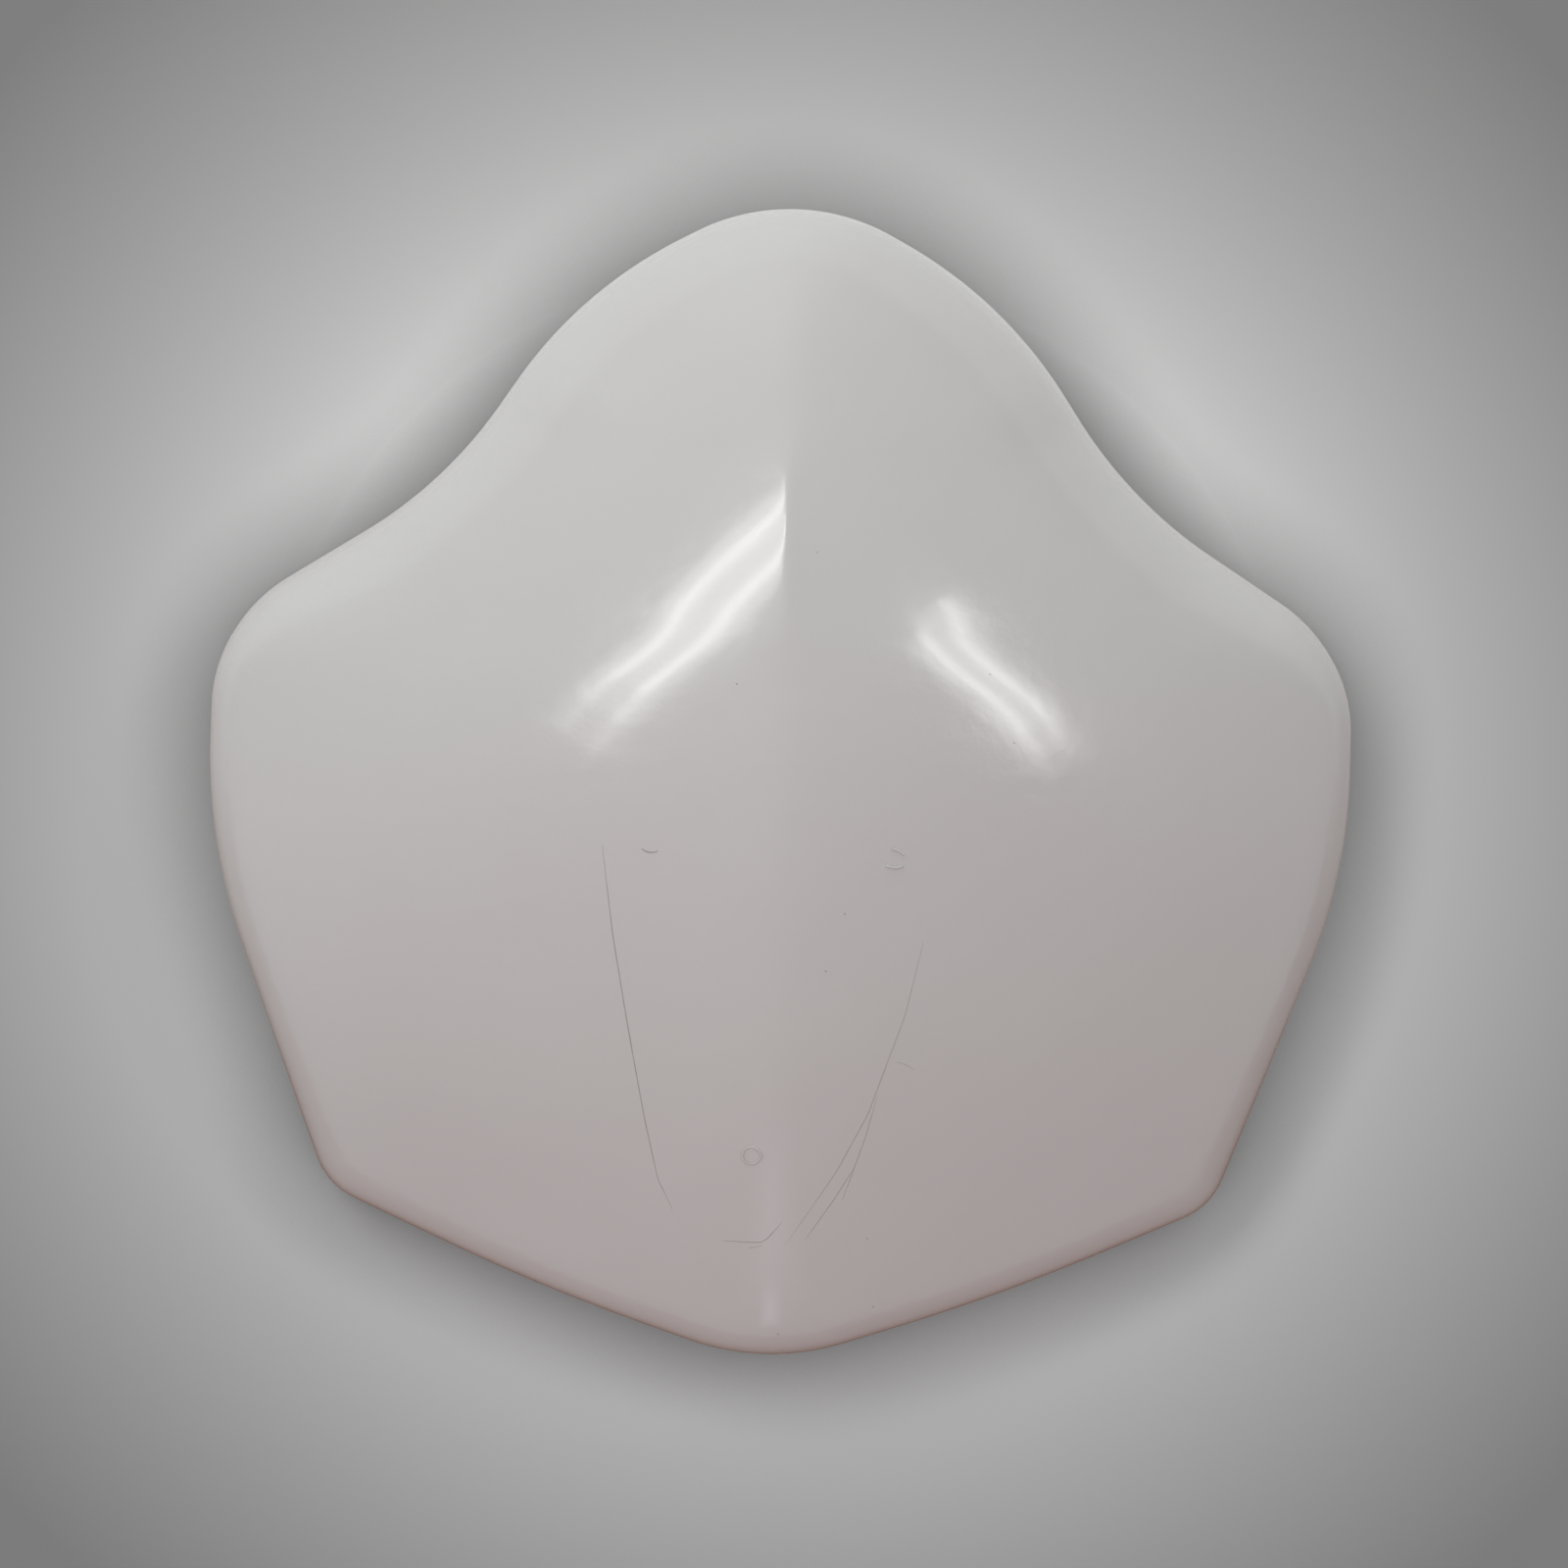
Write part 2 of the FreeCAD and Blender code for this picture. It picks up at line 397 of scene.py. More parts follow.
def rim_loops(sizes):
    """Loops of points from the rim, up the wall and over the roll, to the edge of the face."""
    points, normals = rim_points()
    lean = math.tan(sizes.draft)

    def face_at(inset):
        place = points + normals * inset[:, None]
        return face_height(place[:, 0], place[:, 1])

    y = points[:, 1]
    flank = np.clip((y - FLANK_START) / FLANK_BLEND, 0.0, 1.0)
    flank = flank * flank * (3.0 - 2.0 * flank)
    reach = sizes.roll + (sizes.flank_roll - sizes.roll) * flank
    inset = np.zeros(len(points))
    for _ in range(INSET_ROUNDS):
        inset = face_at(inset) * lean
    far = inset + reach
    far_height = face_at(far)
    step = 2e-4
    far_slope = (face_at(far + step) - face_at(far - step)) / (2.0 * step)
    corner_height = (far_height - far_slope * far) / (1.0 - far_slope * lean)
    foot_height = corner_height - np.minimum(reach, WALL_SHARE * corner_height)
    foot = np.stack([foot_height * lean, foot_height], axis=1)
    corner = np.stack([corner_height * lean, corner_height], axis=1)
    end = np.stack([far, far_height], axis=1)
    near = (ROLL_HOLD - FLANK_EASING * flank)[:, None]
    hold = [
        foot, foot + (corner - foot) * near, foot + (corner - foot) * 2.0 * near,
        end + (corner - end) * 2.0 * near, end + (corner - end) * near, end,
    ]
    profile = [foot * share for share in WALL_LOOPS]
    for u in np.linspace(0.0, 1.0, ROLL_LOOPS):
        weights = [math.comb(5, k) * u ** k * (1.0 - u) ** (5 - k) for k in range(6)]
        profile.append(sum(weight * point for weight, point in zip(weights, hold)))
    loops = []
    for place in profile:
        plan = points + normals * place[:, :1]
        loops.append(np.column_stack([plan, place[:, 1]]))
    for more in FACE_LOOPS:
        plan = points + normals * (far + more)[:, None]
        loops.append(np.column_stack([plan, face_height(plan[:, 0], plan[:, 1])]))
    return [loop.astype(np.float32) for loop in loops]


def only(obj):
    """Makes an object the only selected one, and the active one."""
    bpy.ops.object.select_all(action="DESELECT")
    obj.select_set(True)
    bpy.context.view_layer.objects.active = obj


def apply_all(obj):
    """Applies every modifier in order."""
    only(obj)
    for modifier in list(obj.modifiers):
        bpy.ops.object.modifier_apply(modifier=modifier.name)


def add_node(tree, kind, place, **settings):
    """A node at a place in a tree. Settings whose names are sockets set those sockets."""
    node = tree.nodes.new(kind)
    node.location = place
    for name, value in settings.items():
        socket = node.inputs.get(name.replace("_", " ").title())
        if socket is not None and not hasattr(node, name):
            socket.default_value = value
        else:
            setattr(node, name, value)
    return node


def new_group(name, inputs, outputs):
    """An empty shader node group with named number and colour sockets."""
    tree = bpy.data.node_groups.new(name, "ShaderNodeTree")
    for side, sockets in (("INPUT", inputs), ("OUTPUT", outputs)):
        for label, kind, default in sockets:
            socket = tree.interface.new_socket(name=label, in_out=side, socket_type="NodeSocket" + kind)
            if default is not None:
                socket.default_value = default
    return tree, tree.nodes.new("NodeGroupInput"), tree.nodes.new("NodeGroupOutput")


def drift_group():
    """Slow drift between two colours, with smudges that change the gloss."""
    tree, entry, leave = new_group(
        "Drift",
        (("Colour", "Color", (0.8, 0.8, 0.8, 1.0)), ("Shade", "Color", (0.7, 0.7, 0.7, 1.0)),
         ("Scale", "Float", 9.0), ("Gloss", "Float", 0.1), ("Smudge", "Float", 0.05)),
        (("Colour", "Color", None), ("Roughness", "Float", None)),
    )
    coords = add_node(tree, "ShaderNodeTexCoord", (-900, 0))
    slow = add_node(tree, "ShaderNodeTexNoise", (-700, 150), detail=3.0, roughness=0.55)
    tree.links.new(coords.outputs["Object"], slow.inputs["Vector"])
    tree.links.new(entry.outputs["Scale"], slow.inputs["Scale"])
    spread = add_node(tree, "ShaderNodeMapRange", (-500, 150))
    spread.inputs["From Min"].default_value = 0.32
    spread.inputs["From Max"].default_value = 0.68
    tree.links.new(slow.outputs["Fac"], spread.inputs["Value"])
    mix = add_node(tree, "ShaderNodeMixRGB", (-300, 150))
    tree.links.new(spread.outputs["Result"], mix.inputs["Fac"])
    tree.links.new(entry.outputs["Colour"], mix.inputs["Color1"])
    tree.links.new(entry.outputs["Shade"], mix.inputs["Color2"])
    tree.links.new(mix.outputs["Color"], leave.inputs["Colour"])
    smudge = add_node(tree, "ShaderNodeTexNoise", (-700, -200), scale=34.0, detail=5.0, roughness=0.6)
    tree.links.new(coords.outputs["Object"], smudge.inputs["Vector"])
    amount = add_node(tree, "ShaderNodeMath", (-500, -200), operation="MULTIPLY")
    tree.links.new(smudge.outputs["Fac"], amount.inputs[0])
    tree.links.new(entry.outputs["Smudge"], amount.inputs[1])
    total = add_node(tree, "ShaderNodeMath", (-300, -200), operation="ADD")
    tree.links.new(amount.outputs["Value"], total.inputs[0])
    tree.links.new(entry.outputs["Gloss"], total.inputs[1])
    tree.links.new(total.outputs["Value"], leave.inputs["Roughness"])
    return tree


def strand_group():
    """One layer of chopped strands lying in one direction."""
    tree, entry, leave = new_group(
        "Strand Layer",
        (("Angle", "Float", 0.0), ("Shift", "Float", 0.0)),
        (("Strands", "Float", None),),
    )
    coords = add_node(tree, "ShaderNodeTexCoord", (-1100, 0))
    turn = add_node(tree, "ShaderNodeVectorRotate", (-900, 0), rotation_type="Z_AXIS")
    tree.links.new(coords.outputs["Object"], turn.inputs["Vector"])
    tree.links.new(entry.outputs["Angle"], turn.inputs["Angle"])
    stretch = add_node(tree, "ShaderNodeVectorMath", (-700, 0), operation="MULTIPLY")
    stretch.inputs[1].default_value = (26.0, 520.0, 60.0)
    tree.links.new(turn.outputs["Vector"], stretch.inputs[0])
    move = add_node(tree, "ShaderNodeVectorMath", (-520, 0), operation="ADD")
    tree.links.new(stretch.outputs["Vector"], move.inputs[0])
    tree.links.new(entry.outputs["Shift"], move.inputs[1])
    noise = add_node(tree, "ShaderNodeTexNoise", (-340, 0), scale=1.0, detail=2.0, roughness=0.5)
    tree.links.new(move.outputs["Vector"], noise.inputs["Vector"])
    thin = add_node(tree, "ShaderNodeMapRange", (-160, 0), interpolation_type="SMOOTHSTEP")
    thin.inputs["From Min"].default_value = 0.56
    thin.inputs["From Max"].default_value = 0.68
    tree.links.new(noise.outputs["Fac"], thin.inputs["Value"])
    tree.links.new(thin.outputs["Result"], leave.inputs["Strands"])
    return tree


def new_material(name):
    """A material with a Principled shader and nothing linked to it."""
    material = bpy.data.materials.new(name)
    material.use_nodes = True
    tree = material.node_tree
    shader = tree.nodes["Principled BSDF"]
    return material, tree, shader


def gel_coat_material(colours, drift):
    """Polished white gel coat: faint drift of tint, smudged gloss and orange peel."""
    material, tree, shader = new_material("white_gel_coat")
    tint = add_node(tree, "ShaderNodeGroup", (-600, 200))
    tint.node_tree = drift
    tint.inputs["Colour"].default_value = (*colours.gel_coat, 1.0)
    tint.inputs["Shade"].default_value = (*colours.gel_shade, 1.0)
    tint.inputs["Scale"].default_value = 7.0
    tint.inputs["Gloss"].default_value = 0.13
    tint.inputs["Smudge"].default_value = 0.13
    tree.links.new(tint.outputs["Colour"], shader.inputs["Base Color"])
    tree.links.new(tint.outputs["Roughness"], shader.inputs["Roughness"])
    shader.inputs["IOR"].default_value = 1.5
    shader.inputs["Coat Weight"].default_value = 1.0
    shader.inputs["Coat Roughness"].default_value = 0.09
    coords = add_node(tree, "ShaderNodeTexCoord", (-1000, -200))
    peel = add_node(tree, "ShaderNodeTexNoise", (-800, -200), scale=170.0, detail=2.0, roughness=0.4)
    tree.links.new(coords.outputs["Object"], peel.inputs["Vector"])
    grain = add_node(tree, "ShaderNodeTexNoise", (-800, -450), scale=760.0, detail=1.0, roughness=0.5)
    tree.links.new(coords.outputs["Object"], grain.inputs["Vector"])
    fine = add_node(tree, "ShaderNodeMath", (-600, -450), operation="MULTIPLY")
    fine.inputs[1].default_value = 0.2
    tree.links.new(grain.outputs["Fac"], fine.inputs[0])
    relief = add_node(tree, "ShaderNodeMath", (-450, -250), operation="ADD")
    tree.links.new(peel.outputs["Fac"], relief.inputs[0])
    tree.links.new(fine.outputs["Value"], relief.inputs[1])
    bump = add_node(tree, "ShaderNodeBump", (-300, -200), strength=0.3, distance=0.0004)
    tree.links.new(relief.outputs["Value"], bump.inputs["Height"])
    tree.links.new(bump.outputs["Normal"], shader.inputs["Normal"])
    return material


def laminate_material(colours, drift, strand):
    """Back of the laminate: glass mat wetted out with resin, its strands showing."""
    material, tree, shader = new_material("laminate")
    tint = add_node(tree, "ShaderNodeGroup", (-700, 300))
    tint.node_tree = drift
    tint.inputs["Colour"].default_value = (*colours.laminate, 1.0)
    tint.inputs["Shade"].default_value = (*[0.82 * c for c in colours.laminate], 1.0)
    tint.inputs["Scale"].default_value = 28.0
    tint.inputs["Gloss"].default_value = 0.22
    tint.inputs["Smudge"].default_value = 0.35
    total = None
    for k in range(6):
        layer = add_node(tree, "ShaderNodeGroup", (-1000, -220 * k))
        layer.node_tree = strand
        layer.inputs["Angle"].default_value = 0.35 + k * math.pi / 6.0
        layer.inputs["Shift"].default_value = 7.3 * k
        if total is None:
            total = layer.outputs["Strands"]
        else:
            most = add_node(tree, "ShaderNodeMath", (-760, -220 * k), operation="MAXIMUM")
            tree.links.new(total, most.inputs[0])
            tree.links.new(layer.outputs["Strands"], most.inputs[1])
            total = most.outputs["Value"]
    mix = add_node(tree, "ShaderNodeMixRGB", (-400, 250))
    mix.inputs["Color2"].default_value = (*colours.strands, 1.0)
    share = add_node(tree, "ShaderNodeMath", (-560, 120), operation="MULTIPLY")
    share.inputs[1].default_value = 0.55
    tree.links.new(total, share.inputs[0])
    tree.links.new(share.outputs["Value"], mix.inputs["Fac"])
    tree.links.new(tint.outputs["Colour"], mix.inputs["Color1"])
    tree.links.new(mix.outputs["Color"], shader.inputs["Base Color"])
    tree.links.new(tint.outputs["Roughness"], shader.inputs["Roughness"])
    bump = add_node(tree, "ShaderNodeBump", (-300, -200), strength=0.5, distance=0.0004)
    tree.links.new(total, bump.inputs["Height"])
    tree.links.new(bump.outputs["Normal"], shader.inputs["Normal"])
    return material


def cut_edge_material(colours, drift):
    """Trimmed rim: sanded laminate, dull and slightly uneven."""
    material, tree, shader = new_material("cut_edge")
    tint = add_node(tree, "ShaderNodeGroup", (-600, 200))
    tint.node_tree = drift
    tint.inputs["Colour"].default_value = (*colours.cut_edge, 1.0)
    tint.inputs["Shade"].default_value = (*[0.78 * c for c in colours.cut_edge], 1.0)
    tint.inputs["Scale"].default_value = 420.0
    tint.inputs["Gloss"].default_value = 0.55
    tint.inputs["Smudge"].default_value = 0.2
    tree.links.new(tint.outputs["Colour"], shader.inputs["Base Color"])
    tree.links.new(tint.outputs["Roughness"], shader.inputs["Roughness"])
    return material


def marks_material(colours, drift):
    """Scribed lines and specks: dull dark grey, its tone drifting unevenly."""
    material, tree, shader = new_material("marks")
    tint = add_node(tree, "ShaderNodeGroup", (-600, 200))
    tint.node_tree = drift
    tint.inputs["Colour"].default_value = (*colours.marks, 1.0)
    tint.inputs["Shade"].default_value = (*[0.7 * c for c in colours.marks], 1.0)
    tint.inputs["Scale"].default_value = 160.0
    tint.inputs["Gloss"].default_value = 0.5
    tint.inputs["Smudge"].default_value = 0.2
    tree.links.new(tint.outputs["Colour"], shader.inputs["Base Color"])
    tree.links.new(tint.outputs["Roughness"], shader.inputs["Roughness"])
    return material


def extrude_loop(mesh, before, after):
    """Extrudes the selected loop and puts each new point where the next loop has it."""
    bpy.ops.mesh.extrude_edges_move(TRANSFORM_OT_translate={"value": (0.0, 0.0, 0.0)})
    edit = bmesh.from_edit_mesh(mesh)
    places = {tuple(map(float, old)): new for old, new in zip(before, after)}
    for vert in edit.verts:
        if vert.select:
            vert.co = places[tuple(vert.co)]
    bmesh.update_edit_mesh(mesh)


def fill_face(mesh, loop):
    """Fills the last loop with a grid whose middle column runs along the ridge, and lays it on the face."""
    edit = bmesh.from_edit_mesh(mesh)
    corner = tuple(map(float, loop[COLUMNS // 2]))
    start = [vert for vert in edit.verts if vert.select and tuple(vert.co) == corner][0]
    edit.select_history.clear()
    edit.select_history.add(start)
    bmesh.update_edit_mesh(mesh)
    bpy.ops.mesh.fill_grid(span=ROWS, use_interp_simple=True)
    bpy.ops.mesh.select_less()
    bpy.ops.mesh.vertices_smooth(factor=0.5, repeat=6)
    edit = bmesh.from_edit_mesh(mesh)
    for vert in edit.verts:
        if vert.select:
            vert.co.z = float(face_height(np.array(vert.co.x), np.array(vert.co.y)))
    bmesh.update_edit_mesh(mesh)


class FAIRING_OT_shell(Operator):
    """Build the fairing shell: wall, rolled edge and ridged face, then the laminate behind them"""

    bl_idname = "fairing.shell"
    bl_label = "Fairing Shell"
    bl_options = {"REGISTER", "UNDO"}

    def execute(self, context):
        sizes = context.scene.fairing_sizes
        colours = context.scene.fairing_colours
        loops = rim_loops(sizes)
        bpy.ops.object.select_all(action="DESELECT")
        bpy.ops.mesh.primitive_circle_add(vertices=len(loops[0]), radius=HALF_WIDTH, fill_type="NOTHING")
        shell = context.object
        shell.name = "shell"
        for vert, place in zip(shell.data.vertices, loops[0]):
            vert.co = place
        bpy.ops.object.mode_set(mode="EDIT")
        bpy.ops.mesh.select_mode(type="VERT")
        bpy.ops.mesh.select_all(action="SELECT")
        for before, after in zip(loops, loops[1:]):
            extrude_loop(shell.data, before, after)
        fill_face(shell.data, loops[-1])
        bpy.ops.mesh.select_all(action="SELECT")
        bpy.ops.mesh.normals_make_consistent(inside=False)
        bpy.ops.object.mode_set(mode="OBJECT")
        drift = drift_group()
        strand = strand_group()
        shell.data.materials.append(gel_coat_material(colours, drift))
        shell.data.materials.append(laminate_material(colours, drift, strand))
        shell.data.materials.append(cut_edge_material(colours, drift))
        self.finish_face(shell, sizes)
        self.add_laminate(shell, sizes)
        only(shell)
        bpy.ops.object.shade_smooth_by_angle(angle=math.radians(35.0))
        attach(shell, "root")
        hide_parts("fairing_shell")
        return {"FINISHED"}

    def finish_face(self, shell, sizes):
        """Slow waves over the face, from a mould shaped by hand."""
        face = shell.vertex_groups.new(name="face")
        for vert in shell.data.vertices:
            weight = min(1.0, max(0.0, (vert.co.z - WAVES_START) / WAVES_BLEND))
            face.add([vert.index], weight, "REPLACE")
        waves = bpy.data.textures.new("slow_waves", "CLOUDS")
        waves.noise_scale = 0.045
        waves.noise_depth = 1
        displace = shell.modifiers.new("waves", "DISPLACE")
        displace.texture = waves
        displace.texture_coords = "LOCAL"
        displace.vertex_group = "face"
        displace.strength = sizes.waviness
        displace.mid_level = 1.0
        apply_all(shell)

    def add_laminate(self, shell, sizes):
        """Laminate thickness, its lumpy back and a flat trimmed rim."""
        shell.vertex_groups.new(name="inside")
        solidify = shell.modifiers.new("laminate", "SOLIDIFY")
        solidify.thickness = sizes.wall
        solidify.offset = -1.0
        solidify.use_even_offset = True
        solidify.material_offset = 1
        solidify.material_offset_rim = 2
        solidify.shell_vertex_group = "inside"
        lumps = bpy.data.textures.new("laminate_lumps", "CLOUDS")
        lumps.noise_scale = 0.011
        lumps.noise_depth = 3
        displace = shell.modifiers.new("lumps", "DISPLACE")
        displace.texture = lumps
        displace.texture_coords = "LOCAL"
        displace.vertex_group = "inside"
        displace.strength = sizes.laminate_relief
        displace.mid_level = 0.5
        apply_all(shell)
        bpy.ops.object.mode_set(mode="EDIT")
        edit = bmesh.from_edit_mesh(shell.data)
        for vert in edit.verts:
            vert.select = vert.co.z < RIM_REACH
        edit.select_flush_mode()
        bmesh.update_edit_mesh(shell.data)
        bpy.ops.transform.resize(value=(1.0, 1.0, 0.0), center_override=(0.0, 0.0, 0.0))
        bpy.ops.object.mode_set(mode="OBJECT")


def add_strokes(name, shell, strokes, width, taper):
    """Thin beads half sunk in the face. Each stroke has its share of the width, then places on the face."""
    curve = bpy.data.curves.new(name, "CURVE")
    curve.dimensions = "3D"
    curve.bevel_depth = width / 2.0
    curve.bevel_resolution = 1
    curve.use_fill_caps = True
    above = CAD_HIGH.z + 0.1
    down = Vector((0.0, 0.0, -1.0))
    for share, places in strokes:
        places = np.array(places)
        lengths = np.concatenate([[0.0], np.cumsum(np.linalg.norm(np.diff(places, axis=0), axis=1))])
        count = max(3, int(lengths[-1] / STROKE_STEP))
        stops = np.linspace(0.0, lengths[-1], count)
        spline = curve.splines.new("NURBS")
        spline.points.add(count - 1)
        spline.use_endpoint_u = True
        spline.order_u = min(4, count)
        for k, point in enumerate(spline.points):
            x, y = [np.interp(stops[k], lengths, places[:, axis]) for axis in (0, 1)]
            hit, spot, normal, face = shell.ray_cast(Vector((x, y, above)), down)
            if not hit:
                raise RuntimeError("a mark lies off the face")
            point.co = (*spot, 1.0)
            point.radius = share * (1.0 - taper * abs(2.0 * k / (count - 1) - 1.0) ** 3)
    strokes = bpy.data.objects.new(name, curve)
    bpy.context.scene.collection.objects.link(strokes)
    only(strokes)
    bpy.ops.object.convert(target="MESH")
    bpy.ops.object.shade_smooth()
    return bpy.context.object


class FAIRING_OT_marks(Operator):
    """Scribe the lines, the chip, the specks and the drilling marks on the face"""

    bl_idname = "fairing.marks"
    bl_label = "Surface Marks"
    bl_options = {"REGISTER", "UNDO"}

    def execute(self, context):
        sizes = context.scene.fairing_sizes
        shell = bpy.data.objects["shell"]
        drift = bpy.data.node_groups["Drift"]
        scribed = marks_material(context.scene.fairing_colours, drift)
        specks = [(1.0, ((x, y), (x + sizes.speck, y - sizes.speck))) for x, y in SPECKS]
        rings = []
        for x, y, radius, start, end in DRILL_MARKS:
            turns = np.linspace(start, end, RING_POINTS)
            rings.append((1.0, np.stack([x + radius * np.cos(turns), y + radius * np.sin(turns)], axis=1)))
        for name, strokes, width, taper, material in (
            ("scribed_lines", SCRIBED_LINES, sizes.line_width, 0.6, scribed),
            ("chip", ((1.0, CHIP),), sizes.line_width * 1.7, 0.5, scribed),
            ("specks", specks, sizes.line_width * 1.5, 0.3, scribed),
            ("drill_marks", rings, sizes.line_width * 3.5, 0.0, shell.data.materials["white_gel_coat"]),
        ):
            mark = add_strokes(name, shell, strokes, width, taper)
            mark.data.materials.append(material)
            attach(mark, "root")
        return {"FINISHED"}


class FAIRING_OT_stage(Operator):
    """Set the floor, the lights and the camera"""

    bl_idname = "fairing.stage"
    bl_label = "Studio"
    bl_options = {"REGISTER", "UNDO"}

    def execute(self, context):
        studio = context.scene.fairing_studio
        self.floor(studio)
        self.lights(context, studio)
        self.camera(context, studio)
        context.scene.view_settings.view_transform = "Standard"
        return {"FINISHED"}

    def floor(self, studio):
        """A round floor with painted light: a painted pool of light, brightest beside the shell, a painted
        shadow, darkest right against it, and a painted dark brown reflection that only glossy rays see.
        """
        bpy.ops.object.select_all(action="DESELECT")
        bpy.ops.mesh.primitive_circle_add(vertices=96, radius=6.0, fill_type="NGON")
        floor = bpy.context.object
        floor.name = "floor"
        material, tree, shader = new_material("floor")
        # Painted pool of light: the floor's colour goes from the bright middle to the dark edge with distance
        # from its centre.
        coords = add_node(tree, "ShaderNodeTexCoord", (-900, 0))
        length = add_node(tree, "ShaderNodeVectorMath", (-700, 0), operation="LENGTH")
        tree.links.new(coords.outputs["Object"], length.inputs[0])
        spread = add_node(tree, "ShaderNodeMapRange", (-600, 0))
        spread.inputs["From Min"].default_value = 0.165
        spread.inputs["From Max"].default_value = 0.335
        tree.links.new(length.outputs["Value"], spread.inputs["Value"])
        fade = add_node(tree, "ShaderNodeMath", (-450, 0), operation="POWER")
        fade.inputs[1].default_value = 0.6
        tree.links.new(spread.outputs["Result"], fade.inputs[0])
        mix = add_node(tree, "ShaderNodeMixRGB", (-300, 0))
        mix.inputs["Color1"].default_value = (*studio.floor_painted_pool, 1.0)
        mix.inputs["Color2"].default_value = (*studio.floor_painted_falloff, 1.0)
        tree.links.new(fade.outputs["Value"], mix.inputs["Fac"])
        # Painted shadow: an ambient occlusion node darkens the floor's colour towards a near black right
        # against the shell.
        near = add_node(tree, "ShaderNodeAmbientOcclusion", (-700, -250), samples=8)
        near.inputs["Distance"].default_value = 0.032
        deep = add_node(tree, "ShaderNodeMath", (-500, -250), operation="POWER")
        deep.inputs[1].default_value = 1.5
        tree.links.new(near.outputs["AO"], deep.inputs[0])
        shade = add_node(tree, "ShaderNodeMixRGB", (-100, 0))
        shade.inputs["Color1"].default_value = (0.12, 0.12, 0.12, 1.0)
        tree.links.new(deep.outputs["Value"], shade.inputs["Fac"])
        tree.links.new(mix.outputs["Color"], shade.inputs["Color2"])
        # Painted reflection: glossy rays see the dark brown on the side beyond the tip and the bright floor
        # colour on the crown's side; other rays see the floor's painted pool of light and painted shadow.
        path = add_node(tree, "ShaderNodeLightPath", (-300, 350))
        split = add_node(tree, "ShaderNodeSeparateXYZ", (-700, 350))
        tree.links.new(coords.outputs["Object"], split.inputs["Vector"])
        upper = add_node(tree, "ShaderNodeMapRange", (-500, 350), interpolation_type="SMOOTHSTEP")
        upper.inputs["From Min"].default_value = -0.15
        upper.inputs["From Max"].default_value = 0.15
        tree.links.new(split.outputs["Y"], upper.inputs["Value"])
        mirrored = add_node(tree, "ShaderNodeMixRGB", (-100, 350))
        mirrored.inputs["Color1"].default_value = (*studio.floor_painted_reflection, 1.0)
        mirrored.inputs["Color2"].default_value = (*studio.floor_painted_pool, 1.0)
        tree.links.new(upper.outputs["Result"], mirrored.inputs["Fac"])
        seen = add_node(tree, "ShaderNodeMixRGB", (60, 100))
        tree.links.new(mirrored.outputs["Color"], seen.inputs["Color2"])
        tree.links.new(path.outputs["Is Glossy Ray"], seen.inputs["Fac"])
        tree.links.new(shade.outputs["Color"], seen.inputs["Color1"])
        tree.links.new(seen.outputs["Color"], shader.inputs["Base Color"])
        shader.inputs["Roughness"].default_value = 0.9
        shader.inputs["Specular IOR Level"].default_value = 0.1
        floor.data.materials.append(material)

    def lamp(self, name, place, size, power, colour):
        """A flat lamp that faces the shell."""
        bpy.ops.object.light_add(type="AREA", location=place)
        lamp = bpy.context.object
        lamp.name = name
        lamp.data.shape = "RECTANGLE"
        lamp.data.size = size[0]
        lamp.data.size_y = size[1]
        lamp.data.energy = power
        lamp.data.color = colour
        lamp.rotation_euler = (Vector(LAMP_AIM) - Vector(place)).to_track_quat("-Z", "Y").to_euler()
        return lamp

    def strip(self, name, start, end, width, glow, colour=(1.0, 1.0, 1.0)):
        """A flat lamp from one point to another, with the brightness that its face shows."""
        along = (end - start).normalized()
        length = (end - start).length
        middle = (start + end) / 2.0
        back = (middle - Vector((0.0, 0.0, 0.1))).normalized()
        across = back.cross(along).normalized()
        back = along.cross(across)
        lamp = self.lamp(name, middle, (length, width), math.pi * length * width * glow, colour)
        lamp.rotation_euler = Matrix((along, across, back)).transposed().to_euler()
        return lamp

    def window(self, name, start, end, width, glow):
        """A window with soft edges: panes stacked towards the shell, each smaller than the last."""
        middle = (start + end) / 2.0
        for k in range(WINDOW_PANES):
            share = 1.0 - k / WINDOW_PANES
            closer = middle * (1.0 - PANE_SPACING * k)
            half = (end - start) * share / 2.0
            self.strip(name, closer - half, closer + half, width * share, glow, DAYLIGHT)

    def luminaire(self, name, start, end, width, studio):
        """A ceiling lamp: two tubes under a glowing tray, in layers that add up and fade to its far end."""
        start = Vector(start)
        end = Vector(end)
        aside = (end - start).cross(Vector((0.0, 0.0, 1.0))).normalized() * width * TUBE_OFFSET
        below = Vector((0.0, 0.0, -LAYER_SPACING))
        layers = len(LAYER_SHARES)
        for k, share in enumerate(LAYER_SHARES):
            first = start + below * k
            last = start.lerp(end, share) + below * k
            self.strip(name + "_tray", first, last, width, studio.tray / layers)
            for side in (-1.0, 1.0):
                shift = aside * side + below * layers
                glow = studio.tubes / layers
                self.strip(name + "_tube", first + shift, last + shift, width * TUBE_WIDTH, glow)

